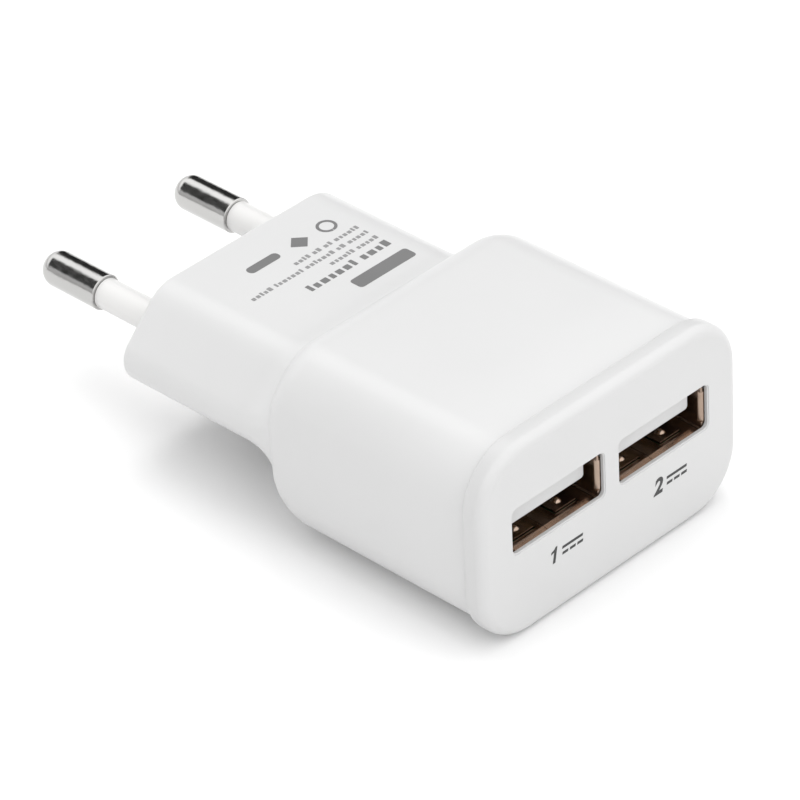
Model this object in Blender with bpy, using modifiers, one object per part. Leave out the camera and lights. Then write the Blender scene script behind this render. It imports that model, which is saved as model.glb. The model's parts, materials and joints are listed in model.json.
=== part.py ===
"""A small two-port USB wall charger with two round mains pins, as separate pieces.

The pins point along +Y, the two USB ports open towards -Y, +X is right as seen from the ports and
+Z is up. The origin is at the middle of the underside. Sizes below are in millimetres. A distance
named "depth" is measured from the face with the ports, towards the pins.
"""

import math

import bmesh
import bpy
from mathutils import Matrix, Vector

MM = 0.001

# Overall
PIN_TIP_DEPTH = 71.4
FACE_Y = -PIN_TIP_DEPTH / 2
GAP = 0.05

# Front bezel: a slightly proud frame that carries both ports
BEZEL_HALF_W = 18.77
BEZEL_HALF_H = 11.33
BEZEL_Z = 11.33
BEZEL_CORNER = 6.5
BEZEL_THICK = 2.5
BEZEL_EDGE = 0.9
SPIGOT_DEPTH = 5.2
SPIGOT_WALL = 1.0

# Rear housing: a rounded box that steps down into a six-sided plug
BODY_HALF_W = 18.25
BODY_HALF_H = 10.83
BODY_CORNER = 6.0
DRAFT = 0.003
WALL = 2.0
STEP_START = 26.6
STEP_MIDDLE = 29.9
STEP_END = 34.6
STEP_SHARE = 0.48
STEP_RINGS = 5
PLUG_REACH = 18.88
PLUG_HALF_H = 7.0
PLUG_Z = 11.55
PLUG_TOP_CORNER = 5.0
PLUG_SIDE_CORNER = 3.0
PLUG_END_DEPTH = 52.0
PLUG_EDGE = 0.6

# Mains pins
PIN_X = 9.65
PIN_RADIUS = 2.0
PIN_CORE_RADIUS = 1.4
SLEEVE_RADIUS = 1.72
SLEEVE_END_DEPTH = 62.6
SLEEVE_ROOT_DEPTH = 50.2
PIN_FLANGE_DEPTH = 43.6
BOSS_RADIUS = 3.2
BOSS_DEPTH = 46.0

# USB ports
PORT_PITCH = 15.42
PORT_Z = 12.87
PORT_W = 13.18
PORT_H = 5.26
PORT_LIP = 0.5
SHELL_Z = 12.46
SHELL_W = 13.1
SHELL_H = 5.72
SHELL_SHEET = 0.3
SHELL_FRONT = 0.6
SHELL_REAR = 14.4
TAB_X = 3.05
TAB_HALF_W = 1.3
TAB_SLIT = 0.3
TAB_FREE = 2.1
TAB_ROOT = 7.6
TONGUE_W = 10.7
TONGUE_FRONT = 1.6
TONGUE_LOW = 12.46
TONGUE_HIGH = 14.3
TONGUE_BASE_FRONT = 10.5
TONGUE_BASE_REAR = 13.9
GROOVE_W = 1.35
GROOVE_ROOF = 13.46
CONTACT_W = 1.0
CONTACT_SHEET = 0.22
CONTACT_OFFSETS = (-3.5, -1.0, 1.0, 3.5)
CONTACT_HINGE_DEPTH = 10.8
CONTACT_HINGE_Z = 12.87

# Circuit board
BOARD_HALF_W = 14.9
BOARD_FRONT = 3.1
BOARD_REAR = 29.0
BOARD_REAR_HALF_W = 12.4
BOARD_CORNER_DEPTH = 24.6
BOARD_TOP = 9.5
BOARD_THICK = 1.2

# Transformer
CORE_X = -7.6
CORE_DEPTH = 21.4
CORE_HALF_W = 6.5
CORE_HALF_LENGTH = 6.2
CORE_HALF_H = 3.0
CORE_Z = 14.4
CORE_LEG = 1.35
CORE_WINDOW = 5.0
CORE_BACK = 1.6
BOBBIN_HALF_W = 4.7
BOBBIN_HALF_H = 4.8
BOBBIN_HALF_LENGTH = 4.4
BOBBIN_FLANGE = 0.6

# Round parts
INPUT_CAP_RADIUS = 3.15
INPUT_CAP_X = 3.5
INPUT_CAP_FRONT = 31.5
INPUT_CAP_REAR = 42.5
OUTPUT_CAP_RADIUS = 3.15
OUTPUT_CAP_HEIGHT = 9.5
LEAD_RADIUS = 0.3
LEAD_LANDING = 28.3

ROUND_STEPS = 20
SMALL_STEPS = 12
SHARP_DEGREES = 35
FLAT_DEGREES = 0.5
WELD = 0.000001


def point(x, depth, z):
    """A world point, in metres, from millimetres and the depth behind the port face."""
    return Vector((x, FACE_Y + depth, z)) * MM


def clear_scene():
    for found in list(bpy.data.objects):
        bpy.data.objects.remove(found, do_unlink=True)


def new_collection(name):
    made = bpy.data.collections.new(name)
    bpy.context.scene.collection.children.link(made)
    return made


def new_material(name, colour, metallic, roughness):
    made = bpy.data.materials.new(name)
    made.use_nodes = True
    shader = made.node_tree.nodes["Principled BSDF"]
    shader.inputs["Base Color"].default_value = (*colour, 1.0)
    shader.inputs["Metallic"].default_value = metallic
    shader.inputs["Roughness"].default_value = roughness
    return made


def add_object(name, mesh, material, collection):
    made = bpy.data.objects.new(name, mesh)
    collection.objects.link(made)
    if material:
        mesh.materials.append(material)
    return made


def shade(mesh):
    mesh.shade_smooth()
    mesh.set_sharp_from_angle(angle=math.radians(SHARP_DEGREES))


def block(name, low, high, material, collection):
    """A box between two corners, each (x, depth, z), with its origin at its middle."""
    near = point(*low)
    far = point(*high)
    mesh = bpy.data.meshes.new(name)
    shape = bmesh.new()
    bmesh.ops.create_cube(shape, size=1.0)
    bmesh.ops.scale(shape, vec=far - near, verts=shape.verts)
    shape.to_mesh(mesh)
    shape.free()
    made = add_object(name, mesh, material, collection)
    made.location = (near + far) / 2
    return made


def mesh_of_curve(name, guide, flat):
    """The mesh that a curve object makes, with its caps welded on. The curve is removed."""
    bpy.context.scene.collection.objects.link(guide)
    graph = bpy.context.evaluated_depsgraph_get()
    mesh = bpy.data.meshes.new_from_object(guide.evaluated_get(graph))
    mesh.name = name
    path = guide.data
    bpy.data.objects.remove(guide, do_unlink=True)
    bpy.data.curves.remove(path)
    shape = bmesh.new()
    shape.from_mesh(mesh)
    bmesh.ops.remove_doubles(shape, verts=shape.verts, dist=WELD)
    if flat:
        bmesh.ops.dissolve_limit(
            shape, angle_limit=math.radians(FLAT_DEGREES), verts=shape.verts, edges=shape.edges
        )
    bmesh.ops.recalc_face_normals(shape, faces=shape.faces)
    shape.to_mesh(mesh)
    shape.free()
    mesh.materials.clear()
    shade(mesh)
    return mesh


def prism(name, outline, start, end, facing, material, collection):
    """A flat outline of (a, b) points, given a thickness from start to end along the facing."""
    curve = bpy.data.curves.new(name + "_outline", "CURVE")
    curve.dimensions = "2D"
    curve.fill_mode = "BOTH"
    curve.extrude = (end - start) / 2 * MM
    line = curve.splines.new("POLY")
    line.use_cyclic_u = True
    line.points.add(len(outline) - 1)
    for index, (a, b) in enumerate(outline):
        line.points[index].co = (a * MM, b * MM, 0.0, 1.0)
    guide = bpy.data.objects.new(name + "_guide", curve)
    made = add_object(name, mesh_of_curve(name, guide, True), material, collection)
    middle = (start + end) / 2
    if facing == "front":
        made.rotation_euler = (math.pi / 2, 0.0, 0.0)
        made.location = point(0.0, middle, 0.0)
    elif facing == "side":
        made.rotation_euler = (math.pi / 2, 0.0, math.pi / 2)
        made.location = point(middle, 0.0, 0.0)
    else:
        made.location = point(0.0, 0.0, middle)
    return made


def rounded_outline(centre, half_w, half_h, radius, arc_steps):
    """The corners of a rounded rectangle, in order."""
    outline = []
    for turn in range(4):
        sign_x = (1, -1, -1, 1)[turn]
        sign_z = (1, 1, -1, -1)[turn]
        for step in range(arc_steps + 1):
            angle = math.radians(90 * turn + 90 * step / arc_steps)
            x = centre[0] + sign_x * (half_w - radius) + radius * math.cos(angle)
            z = centre[1] + sign_z * (half_h - radius) + radius * math.sin(angle)
            outline.append((x, z))
    return outline


def revolve(name, profile, origin, along_y, steps, material, collection):
    """Spins (radius, along) points, listed from the far end down to the near end, about Z or Y."""
    mesh = bpy.data.meshes.new(name)
    vertices = [(radius * MM, 0.0, along * MM) for radius, along in profile]
    edges = [(i, i + 1) for i in range(len(profile) - 1)]
    mesh.from_pydata(vertices, edges, [])
    made = add_object(name, mesh, material, collection)
    spin = made.modifiers.new("spin", "SCREW")
    spin.axis = "Z"
    spin.steps = steps
    spin.render_steps = steps
    spin.use_merge_vertices = True
    spin.merge_threshold = WELD
    made.location = origin
    if along_y:
        made.rotation_euler.x = -math.pi / 2
    return made


def rod(name, radius, start, end, centre, along_y, steps, material, collection):
    """A plain cylinder. centre is (x, z) when it lies along Y, or (x, depth) when it stands."""
    profile = [(0.0, end), (radius, end), (radius, start), (0.0, start)]
    if along_y:
        origin = point(centre[0], 0.0, centre[1])
    else:
        origin = point(centre[0], centre[1], 0.0)
    return revolve(name, profile, origin, along_y, steps, material, collection)


def wire(name, path, radius, material, collection):
    """A round wire through the points, with closed ends, as a mesh."""
    curve = bpy.data.curves.new(name + "_path", "CURVE")
    curve.dimensions = "3D"
    curve.bevel_depth = radius * MM
    curve.bevel_resolution = 1
    curve.use_fill_caps = True
    line = curve.splines.new("POLY")
    line.points.add(len(path) - 1)
    for index, spot in enumerate(path):
        line.points[index].co = (*point(*spot), 1.0)
    guide = bpy.data.objects.new(name + "_guide", curve)
    return add_object(name, mesh_of_curve(name, guide, False), material, collection)


def strip(name, centreline, thickness, x, width, material, collection):
    """A bent strip of sheet metal: a centreline of (depth, z) points given a thickness and a width."""
    upper = []
    lower = []
    last = len(centreline) - 1
    for index, (depth, z) in enumerate(centreline):
        before = centreline[max(index - 1, 0)]
        after = centreline[min(index + 1, last)]
        run = Vector((after[0] - before[0], after[1] - before[1])).normalized()
        side = Vector((-run.y, run.x)) * (thickness / 2)
        upper.append((depth + side.x, z + side.y))
        lower.append((depth - side.x, z - side.y))
    outline = upper + lower[::-1]
    return prism(name, outline, x - width / 2, x + width / 2, "side", material, collection)


def combine(target, tool, operation):
    """Adds a Boolean, and keeps the other shape out of the render."""
    for holder in list(tool.users_collection):
        holder.objects.unlink(tool)
    bpy.data.collections["cutters"].objects.link(tool)
    tool.display_type = "WIRE"
    tool.hide_render = True
    change = target.modifiers.new(tool.name, "BOOLEAN")
    change.operation = operation
    change.solver = "EXACT"
    change.object = tool


def body_point(angle, inset):
    half_w = BODY_HALF_W - inset
    half_h = BODY_HALF_H - inset
    radius = BODY_CORNER - inset
    x = half_w - radius + radius * math.sin(angle)
    z = half_h - radius + radius * math.cos(angle)
    return x, z


def plug_point(angle, inset, on_top_corner):
    """A point of the six-sided outline, whose slanted sides are at 45 degrees."""
    half_h = PLUG_HALF_H - inset
    reach = PLUG_REACH - inset * math.sqrt(2)
    if on_top_corner:
        radius = PLUG_TOP_CORNER - inset
        x = reach - half_h - radius * math.tan(math.radians(22.5)) + radius * math.sin(angle)
        return x, half_h - radius + radius * math.cos(angle)
    radius = PLUG_SIDE_CORNER - inset
    return reach - radius * math.sqrt(2) + radius * math.sin(angle), radius * math.cos(angle)


def housing_ring(depth, inset, share):
    """One cross-section of the housing: share runs from 0 for the body to 1 for the plug."""
    body_angles = (0, 15, 30, 42, 48, 60, 75, 90)
    plug_angles = (0, 15, 30, 45, 45, 58, 71, 84)
    quarter = []
    for index, (body_angle, plug_angle) in enumerate(zip(body_angles, plug_angles)):
        body_x, body_z = body_point(math.radians(body_angle), inset)
        plug_x, plug_z = plug_point(math.radians(plug_angle), inset, index < len(body_angles) / 2)
        x = body_x + share * (plug_x - body_x)
        z = body_z + share * (plug_z - body_z)
        quarter.append((x, z))
    middle = BEZEL_Z + share * (PLUG_Z - BEZEL_Z)
    ring = [(x, middle + z) for x, z in quarter]
    ring += [(x, middle - z) for x, z in reversed(quarter)]
    ring += [(-x, middle - z) for x, z in quarter]
    ring += [(-x, middle + z) for x, z in reversed(quarter)]
    return [point(x, depth, z) for x, z in ring]


def step_share(depth):
    """How far the section has changed from body to plug: a rounded shoulder, then a hollow sweep."""
    if depth <= STEP_START:
        return 0.0
    if depth < STEP_MIDDLE:
        along = (depth - STEP_START) / (STEP_MIDDLE - STEP_START)
        return STEP_SHARE * (1 - math.sqrt(1 - along * along))
    if depth < STEP_END:
        along = (STEP_END - depth) / (STEP_END - STEP_MIDDLE)
        return 1 - (1 - STEP_SHARE) * (1 - math.sqrt(1 - along * along))
    return 1.0


def make_housing(material, collection):
    """The hollow rear housing: open at the front, closed at the plug's end."""
    front = BEZEL_THICK + GAP
    arc = [math.radians(90 * step / STEP_RINGS) for step in range(STEP_RINGS + 1)]
    outer_depths = [front]
    outer_depths += [STEP_START + (STEP_MIDDLE - STEP_START) * math.sin(angle) for angle in arc]
    outer_depths += [STEP_END - (STEP_END - STEP_MIDDLE) * math.cos(angle) for angle in arc[1:]]
    wall_lead = 1.6
    rings = []
    for depth in outer_depths:
        rings.append(housing_ring(depth, DRAFT * min(depth, STEP_START), step_share(depth)))
    end_inset = DRAFT * STEP_START
    rings.append(housing_ring(PLUG_END_DEPTH - PLUG_EDGE, end_inset, 1.0))
    rings.append(housing_ring(PLUG_END_DEPTH - PLUG_EDGE * 0.3, end_inset + PLUG_EDGE * 0.3, 1.0))
    rings.append(housing_ring(PLUG_END_DEPTH, end_inset + PLUG_EDGE, 1.0))
    rings.append(housing_ring(PLUG_END_DEPTH - WALL, WALL, 1.0))
    for depth in reversed(outer_depths[1:]):
        rings.append(housing_ring(depth - wall_lead, WALL, step_share(depth)))
    rings.append(housing_ring(front, WALL, 0.0))
    count = len(rings[0])
    outer_end = len(outer_depths) + 2
    vertices = [spot for ring in rings for spot in ring]
    faces = []
    for row in range(len(rings)):
        if row == outer_end:
            continue
        following = (row + 1) % len(rings)
        for i in range(count):
            j = (i + 1) % count
            faces.append((row * count + i, row * count + j, following * count + j, following * count + i))
    faces.append(tuple(outer_end * count + i for i in range(count)))
    faces.append(tuple((outer_end + 1) * count + i for i in range(count)))
    mesh = bpy.data.meshes.new("rear_housing")
    mesh.from_pydata(vertices, [], faces)
    shape = bmesh.new()
    shape.from_mesh(mesh)
    bmesh.ops.recalc_face_normals(shape, faces=shape.faces)
    shape.to_mesh(mesh)
    shape.free()
    shade(mesh)
    housing = add_object("rear_housing", mesh, material, collection)
    for side, name in ((-1, "left"), (1, "right")):
        centre = (side * PIN_X, PLUG_Z)
        boss = rod(
            "boss_" + name, BOSS_RADIUS, BOSS_DEPTH, PLUG_END_DEPTH - 1, centre, True, ROUND_STEPS, None,
            collection,
        )
        combine(housing, boss, "UNION")
        inner = side * (BODY_HALF_W - WALL - 2.0)
        outer = side * (BODY_HALF_W - WALL + 0.8)
        rail_top = BOARD_TOP - BOARD_THICK - GAP
        rail = block(
            "rail_" + name,
            (min(inner, outer), SPIGOT_DEPTH + 0.8, rail_top - 1.4),
            (max(inner, outer), STEP_START, rail_top),
            None,
            collection,
        )
        combine(housing, rail, "UNION")
        root = SLEEVE_ROOT_DEPTH - GAP
        wide = rod(
            "sleeve_hole_" + name, SLEEVE_RADIUS + GAP, root, PLUG_END_DEPTH + 2, centre, True, ROUND_STEPS,
            None, collection,
        )
        combine(housing, wide, "DIFFERENCE")
        narrow = rod(
            "core_hole_" + name, PIN_CORE_RADIUS + GAP, BOSS_DEPTH - 1, SLEEVE_ROOT_DEPTH + 1, centre, True,
            ROUND_STEPS, None, collection,
        )
        combine(housing, narrow, "DIFFERENCE")
    return housing


def make_bezel(material, collection):
    """The front frame: a proud plate with two port openings and a spigot that pushes into the housing."""
    outline = rounded_outline((0, BEZEL_Z), BEZEL_HALF_W, BEZEL_HALF_H, BEZEL_CORNER, 6)
    bezel = prism("front_bezel", outline, 0.0, BEZEL_THICK, "front", material, collection)
    shape = bmesh.new()
    shape.from_mesh(bezel.data)
    front = BEZEL_THICK / 2 * MM
    front_edges = [edge for edge in shape.edges if all(abs(spot.co.z - front) < WELD for spot in edge.verts)]
    bmesh.ops.bevel(
        shape, geom=front_edges, offset=BEZEL_EDGE * MM, offset_type="OFFSET", segments=3, profile=0.5,
        affect="EDGES",
    )
    shape.to_mesh(bezel.data)
    shape.free()
    shade(bezel.data)
    spigot_gap = WALL + 0.1
    ring_outer = rounded_outline(
        (0, BEZEL_Z), BODY_HALF_W - spigot_gap, BODY_HALF_H - spigot_gap, BODY_CORNER - spigot_gap, 4
    )
    spigot = prism("spigot", ring_outer, BEZEL_THICK - 0.6, SPIGOT_DEPTH, "front", None, collection)
    combine(bezel, spigot, "UNION")
    inset = spigot_gap + SPIGOT_WALL
    half_w = BODY_HALF_W - inset
    half_h = BODY_HALF_H - inset
    ring_inner = rounded_outline((0, BEZEL_Z), half_w, half_h, BODY_CORNER - inset, 4)
    start = BEZEL_THICK - 0.3
    hollow = prism("spigot_hollow", ring_inner, start, SPIGOT_DEPTH + 1, "front", None, collection)
    combine(bezel, hollow, "DIFFERENCE")
    for side, name in ((-1, "left"), (1, "right")):
        centre = (side * PORT_PITCH / 2, PORT_Z)
        mouth = rounded_outline(centre, PORT_W / 2, PORT_H / 2, 0.5, 3)
        opening = prism("port_mouth_" + name, mouth, -1.0, BEZEL_THICK + 1, "front", None, collection)
        combine(bezel, opening, "DIFFERENCE")
        behind = (side * PORT_PITCH / 2, SHELL_Z)
        seat = rounded_outline(behind, SHELL_W / 2 + 0.12, SHELL_H / 2 + 0.12, 0.7, 3)
        pocket = prism("port_seat_" + name, seat, PORT_LIP, BEZEL_THICK + 1.5, "front", None, collection)
        combine(bezel, pocket, "DIFFERENCE")
    return bezel


def make_pins(metal, plastic, collection):
    for side, name in ((-1, "left"), (1, "right")):
        origin = point(side * PIN_X, 0.0, PLUG_Z)
        tip = PIN_TIP_DEPTH
        profile = [
            (0.0, tip),
            (0.8, tip - 0.1),
            (1.4, tip - 0.45),
            (1.8, tip - 1.0),
            (PIN_RADIUS, tip - 1.9),
            (PIN_RADIUS, SLEEVE_END_DEPTH + 0.35),
            (PIN_RADIUS - 0.22, SLEEVE_END_DEPTH + GAP),
            (PIN_CORE_RADIUS, SLEEVE_END_DEPTH + GAP),
            (PIN_CORE_RADIUS, BOSS_DEPTH - GAP),
            (PIN_RADIUS, BOSS_DEPTH - GAP),
            (PIN_RADIUS, PIN_FLANGE_DEPTH),
            (0.0, PIN_FLANGE_DEPTH),
        ]
        revolve("pin_" + name, profile, origin, True, ROUND_STEPS, metal, collection)
        bore = PIN_CORE_RADIUS + GAP
        sleeve = [
            (bore, SLEEVE_END_DEPTH),
            (SLEEVE_RADIUS, SLEEVE_END_DEPTH),
            (SLEEVE_RADIUS, SLEEVE_ROOT_DEPTH),
            (bore, SLEEVE_ROOT_DEPTH),
            (bore, SLEEVE_END_DEPTH),
        ]
        revolve("pin_sleeve_" + name, sleeve, origin, True, ROUND_STEPS, plastic, collection)


def make_shell(name, middle, material, collection):
    """The folded metal shell of one port, with two spring tabs cut in its floor."""
    outer = rounded_outline((middle, SHELL_Z), SHELL_W / 2, SHELL_H / 2, 0.6, 2)
    shell = prism("usb_shell_" + name, outer, SHELL_FRONT, SHELL_REAR, "front", material, collection)
    half_w = SHELL_W / 2 - SHELL_SHEET
    half_h = SHELL_H / 2 - SHELL_SHEET
    inner = rounded_outline((middle, SHELL_Z), half_w, half_h, 0.3, 2)
    bore = prism("shell_bore_" + name, inner, SHELL_FRONT - 1, SHELL_REAR + 1, "front", None, collection)
    combine(shell, bore, "DIFFERENCE")
    floor = SHELL_Z - SHELL_H / 2
    for side in (-1, 1):
        x = middle + side * TAB_X
        inner = TAB_HALF_W
        outer = TAB_HALF_W + TAB_SLIT
        slot_end = TAB_FREE - TAB_SLIT
        tab_slot = [
            (x - outer, TAB_ROOT), (x - inner, TAB_ROOT), (x - inner, TAB_FREE), (x + inner, TAB_FREE),
            (x + inner, TAB_ROOT), (x + outer, TAB_ROOT), (x + outer, slot_end), (x - outer, slot_end),
        ]
        label = "inner" if side * middle < 0 else "outer"
        slot = prism(
            "tab_slot_" + name + "_" + label, tab_slot, floor - 0.5, floor + 1.0, "up", None, collection
        )
        combine(shell, slot, "DIFFERENCE")
    exit_slot = block(
        "tail_exit_" + name, (middle - 5.0, TONGUE_BASE_REAR - 1.2, floor - 0.5),
        (middle + 5.0, SHELL_REAR + 1, floor + 0.8), None, collection,
    )
    combine(shell, exit_slot, "DIFFERENCE")


def make_tongue(name, middle, material, collection):
    """The plastic insulator of one port: a tongue with four grooves, and the block that holds it."""
    half_w = TONGUE_W / 2
    tongue = block(
        "usb_tongue_" + name, (middle - half_w, TONGUE_FRONT, TONGUE_LOW),
        (middle + half_w, TONGUE_BASE_FRONT + 1, TONGUE_HIGH), material, collection,
    )
    base_half = SHELL_W / 2 - SHELL_SHEET - 0.12
    base_low = SHELL_Z - SHELL_H / 2 + SHELL_SHEET + 0.1
    base_high = SHELL_Z + SHELL_H / 2 - SHELL_SHEET - 0.1
    base = block(
        "tongue_base_" + name, (middle - base_half, TONGUE_BASE_FRONT, base_low),
        (middle + base_half, TONGUE_BASE_REAR, base_high), None, collection,
    )
    combine(tongue, base, "UNION")
    for index, offset in enumerate(CONTACT_OFFSETS, start=1):
        x = middle + offset
        groove = block(
            "groove_" + name + "_" + str(index), (x - GROOVE_W / 2, TONGUE_FRONT + 0.7, TONGUE_LOW - 0.5),
            (x + GROOVE_W / 2, TONGUE_BASE_REAR + 1, GROOVE_ROOF), None, collection,
        )
        combine(tongue, groove, "DIFFERENCE")


def make_contacts(name, middle, material, collection):
    """Four spring blades, each turning about its root, and the four fixed tails behind them."""
    hinge = CONTACT_HINGE_DEPTH
    height = CONTACT_HINGE_Z
    blade = [
        (2.9, height - 0.25), (3.4, height - 0.55), (3.9, height - 0.67), (4.4, height - 0.65),
        (5.2, height - 0.4), (6.6, height - 0.13), (8.2, height), (hinge, height),
    ]
    tail_depth = TONGUE_BASE_REAR + 0.22
    tail = [
        (hinge + 0.12, height), (tail_depth - 0.1, height), (tail_depth, height - 0.1),
        (tail_depth, BOARD_TOP + GAP),
    ]
    for index, offset in enumerate(CONTACT_OFFSETS, start=1):
        x = middle + offset
        label = name + "_" + str(index)
        contact = strip(
            "usb_contact_" + label, blade, CONTACT_SHEET, x, CONTACT_W, material, collection
        )
        pivot = Vector((hinge, height, 0.0)) * MM
        contact.data.transform(Matrix.Translation(-pivot))
        contact.location = point(x, hinge, height)
        strip("usb_tail_" + label, tail, CONTACT_SHEET, x, CONTACT_W * 0.7, material, collection)


def make_board(material, collection):
    """The circuit board, with the slot that separates its mains side from its output side."""
    bottom = BOARD_TOP - BOARD_THICK
    outline = [
        (-BOARD_HALF_W, BOARD_FRONT), (BOARD_HALF_W, BOARD_FRONT), (BOARD_HALF_W, BOARD_CORNER_DEPTH),
        (BOARD_REAR_HALF_W, BOARD_REAR), (-BOARD_REAR_HALF_W, BOARD_REAR),
        (-BOARD_HALF_W, BOARD_CORNER_DEPTH),
    ]
    board = prism("main_board", outline, bottom, BOARD_TOP, "up", material, collection)
    slot = rounded_outline((CORE_X, CORE_DEPTH), 0.6, 4.5, 0.5, 2)
    cutter = prism("isolation_slot", slot, bottom - 1, BOARD_TOP + 1, "up", None, collection)
    combine(board, cutter, "DIFFERENCE")


def make_transformer(ferrite, plastic, tape, collection):
    """Two E-shaped ferrite halves, a bobbin on their middle leg, and the taped winding on the bobbin."""
    for side, name in ((-1, "front"), (1, "rear")):
        far = CORE_DEPTH + side * CORE_HALF_LENGTH
        back = CORE_DEPTH + side * (CORE_HALF_LENGTH - CORE_BACK)
        near = CORE_DEPTH + side * GAP
        outline = [
            (CORE_X - CORE_HALF_W, far), (CORE_X + CORE_HALF_W, far), (CORE_X + CORE_HALF_W, near),
            (CORE_X + CORE_WINDOW, near), (CORE_X + CORE_WINDOW, back), (CORE_X + CORE_LEG, back),
            (CORE_X + CORE_LEG, near), (CORE_X - CORE_LEG, near), (CORE_X - CORE_LEG, back),
            (CORE_X - CORE_WINDOW, back), (CORE_X - CORE_WINDOW, near), (CORE_X - CORE_HALF_W, near),
        ]
        prism(
            "transformer_core_" + name, outline, CORE_Z - CORE_HALF_H, CORE_Z + CORE_HALF_H, "up", ferrite,
            collection,
        )
    clearance = 0.15
    tube_half_w = CORE_LEG + clearance + 0.6
    tube_half_h = CORE_HALF_H + clearance + 0.6
    front = CORE_DEPTH - BOBBIN_HALF_LENGTH
    rear = CORE_DEPTH + BOBBIN_HALF_LENGTH
    bobbin = block(
        "transformer_bobbin", (CORE_X - tube_half_w, front + 0.1, CORE_Z - tube_half_h),
        (CORE_X + tube_half_w, rear - 0.1, CORE_Z + tube_half_h), plastic, collection,
    )
    for depth, name in ((front, "front"), (rear - BOBBIN_FLANGE, "rear")):
        flange = block(
            "bobbin_flange_" + name, (CORE_X - BOBBIN_HALF_W, depth, CORE_Z - BOBBIN_HALF_H),
            (CORE_X + BOBBIN_HALF_W, depth + BOBBIN_FLANGE, CORE_Z + BOBBIN_HALF_H), None, collection,
        )
        combine(bobbin, flange, "UNION")
    leg_w = CORE_LEG + clearance
    leg_h = CORE_HALF_H + clearance
    hole_low = (CORE_X - leg_w, front - 1, CORE_Z - leg_h)
    hole_high = (CORE_X + leg_w, rear + 1, CORE_Z + leg_h)
    hole = block("bobbin_hole", hole_low, hole_high, None, collection)
    combine(bobbin, hole, "DIFFERENCE")
    coil_half_w = BOBBIN_HALF_W - 0.4
    coil_half_h = BOBBIN_HALF_H - 0.3
    coil_front = front + BOBBIN_FLANGE + 0.1
    coil_rear = rear - BOBBIN_FLANGE - 0.1
    outline = rounded_outline((CORE_X, CORE_Z), coil_half_w, coil_half_h, 1.5, 4)
    coil = prism("transformer_winding", outline, coil_front, coil_rear, "front", tape, collection)
    inside = block(
        "winding_hole", (CORE_X - tube_half_w - 0.05, coil_front - 1, CORE_Z - tube_half_h - 0.05),
        (CORE_X + tube_half_w + 0.05, coil_rear + 1, CORE_Z + tube_half_h + 0.05), None, collection,
    )
    combine(coil, inside, "DIFFERENCE")


def can_profile(radius, near, far):
    """An electrolytic can: flat ends with rounded rims and the crimp groove near its base."""
    return [
        (0.0, far), (radius - 0.4, far), (radius, far - 0.4), (radius, near + 1.5),
        (radius - 0.25, near + 1.2), (radius, near + 0.9), (radius, near + 0.3), (radius - 0.3, near),
        (0.0, near),
    ]


def make_input_side(can, metal, ceramic, insulation, collection):
    """What sits in the plug: two input capacitors, the fusible resistor and the other mains lead."""
    board = BOARD_TOP + GAP
    for side, name in ((-1, "left"), (1, "right")):
        x = side * INPUT_CAP_X
        profile = can_profile(INPUT_CAP_RADIUS, INPUT_CAP_FRONT, INPUT_CAP_REAR)
        cap = revolve(
            "input_capacitor_" + name, profile, point(x, 0.0, PLUG_Z), True, ROUND_STEPS, can, collection
        )
        for offset, label in ((-1.0, "a"), (1.0, "b")):
            start = (x + offset, INPUT_CAP_FRONT + 0.5, PLUG_Z)
            bend = (x + offset, LEAD_LANDING, PLUG_Z)
            end = (x + offset, LEAD_LANDING, board)
            path = (start, bend, end)
            lead = wire("input_lead_" + name + "_" + label, path, LEAD_RADIUS, None, collection)
            combine(cap, lead, "UNION")
    body_rear = 40.5
    body_front = 32.5
    radius = 1.7
    profile = [
        (0.0, body_rear), (1.0, body_rear), (radius, body_rear - 0.5), (radius, body_rear - 1.8),
        (radius - 0.25, body_rear - 2.2), (radius - 0.25, body_front + 2.2), (radius, body_front + 1.8),
        (radius, body_front + 0.5), (1.0, body_front), (0.0, body_front),
    ]
    resistor = revolve(
        "fusible_resistor", profile, point(-PIN_X, 0.0, PLUG_Z), True, SMALL_STEPS, ceramic, collection
    )
    rear_path = ((-PIN_X, body_rear - 0.5, PLUG_Z), (-PIN_X, PIN_FLANGE_DEPTH - 0.1, PLUG_Z))
    front_path = (
        (-PIN_X, body_front + 0.5, PLUG_Z), (-PIN_X, LEAD_LANDING, PLUG_Z), (-PIN_X, LEAD_LANDING, board),
    )
    for path, label in ((rear_path, "rear"), (front_path, "front")):
        lead = wire("resistor_lead_" + label, path, LEAD_RADIUS, None, collection)
        combine(resistor, lead, "UNION")
    path = (
        (PIN_X, PIN_FLANGE_DEPTH - 0.1, PLUG_Z), (PIN_X, 40.0, PLUG_Z), (PIN_X + 0.6, 36.0, PLUG_Z + 1.0),
        (PIN_X + 0.2, 31.5, PLUG_Z + 0.8), (PIN_X, LEAD_LANDING + 0.4, PLUG_Z), (PIN_X, LEAD_LANDING, board),
    )
    wire("mains_lead", path, 0.6, insulation, collection)


def make_chip(name, centre, half_w, half_depth, height, legs, leg_w, material, collection):
    """A moulded package under the board, with flat legs on its two long sides."""
    x, depth = centre
    board = BOARD_TOP - BOARD_THICK - GAP
    low = (x - half_w, depth - half_depth, board - 0.1 - height)
    high = (x + half_w, depth + half_depth, board - 0.1)
    chip = block(name, low, high, material, collection)
    pitch = 2 * half_w / legs
    for index in range(legs):
        leg_x = x - half_w + pitch * (index + 0.5)
        foot = block(
            name + "_leg_" + str(index), (leg_x - leg_w / 2, depth - half_depth - 0.9, board - 0.35),
            (leg_x + leg_w / 2, depth + half_depth + 0.9, board), None, collection,
        )
        combine(chip, foot, "UNION")


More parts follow.
